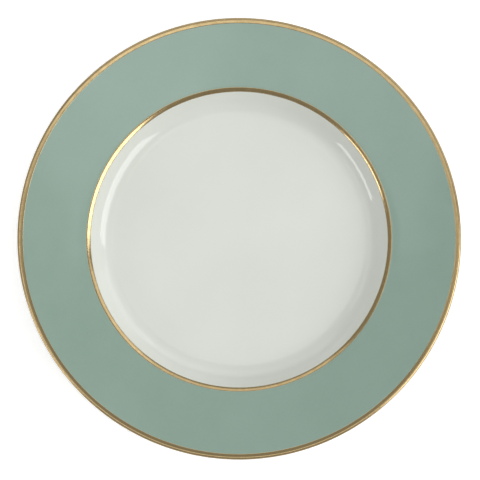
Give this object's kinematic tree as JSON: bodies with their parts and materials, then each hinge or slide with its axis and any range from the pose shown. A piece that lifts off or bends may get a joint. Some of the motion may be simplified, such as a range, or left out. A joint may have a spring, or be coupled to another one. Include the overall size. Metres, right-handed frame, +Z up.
{
  "type": "dinner plate",
  "caption": "Round porcelain dinner plate with a wide green enamelled rim, gilded lip, gilded line round a plain white well, and a foot ring.",
  "frame": {"origin": "on the plate's axis, at the level of the table under the foot ring", "axes": "+Z up along the plate's axis; +X and +Y are level, and the plate is round, so they have no preferred direction"},
  "size_m": [0.27, 0.27, 0.0256],
  "materials": {
    "bare_porcelain": "matte",
    "clear_glaze": "gloss",
    "green_enamel": "gloss",
    "burnished_gold": "polished"
  },
  "bodies": {
    "root": {"porcelain_body": "bare_porcelain", "glaze_coat": "clear_glaze", "base_glaze": "clear_glaze", "green_rim_enamel": "green_enamel", "gold_rim_band": "burnished_gold", "gold_verge_line": "burnished_gold"}
  },
  "joints": []
}
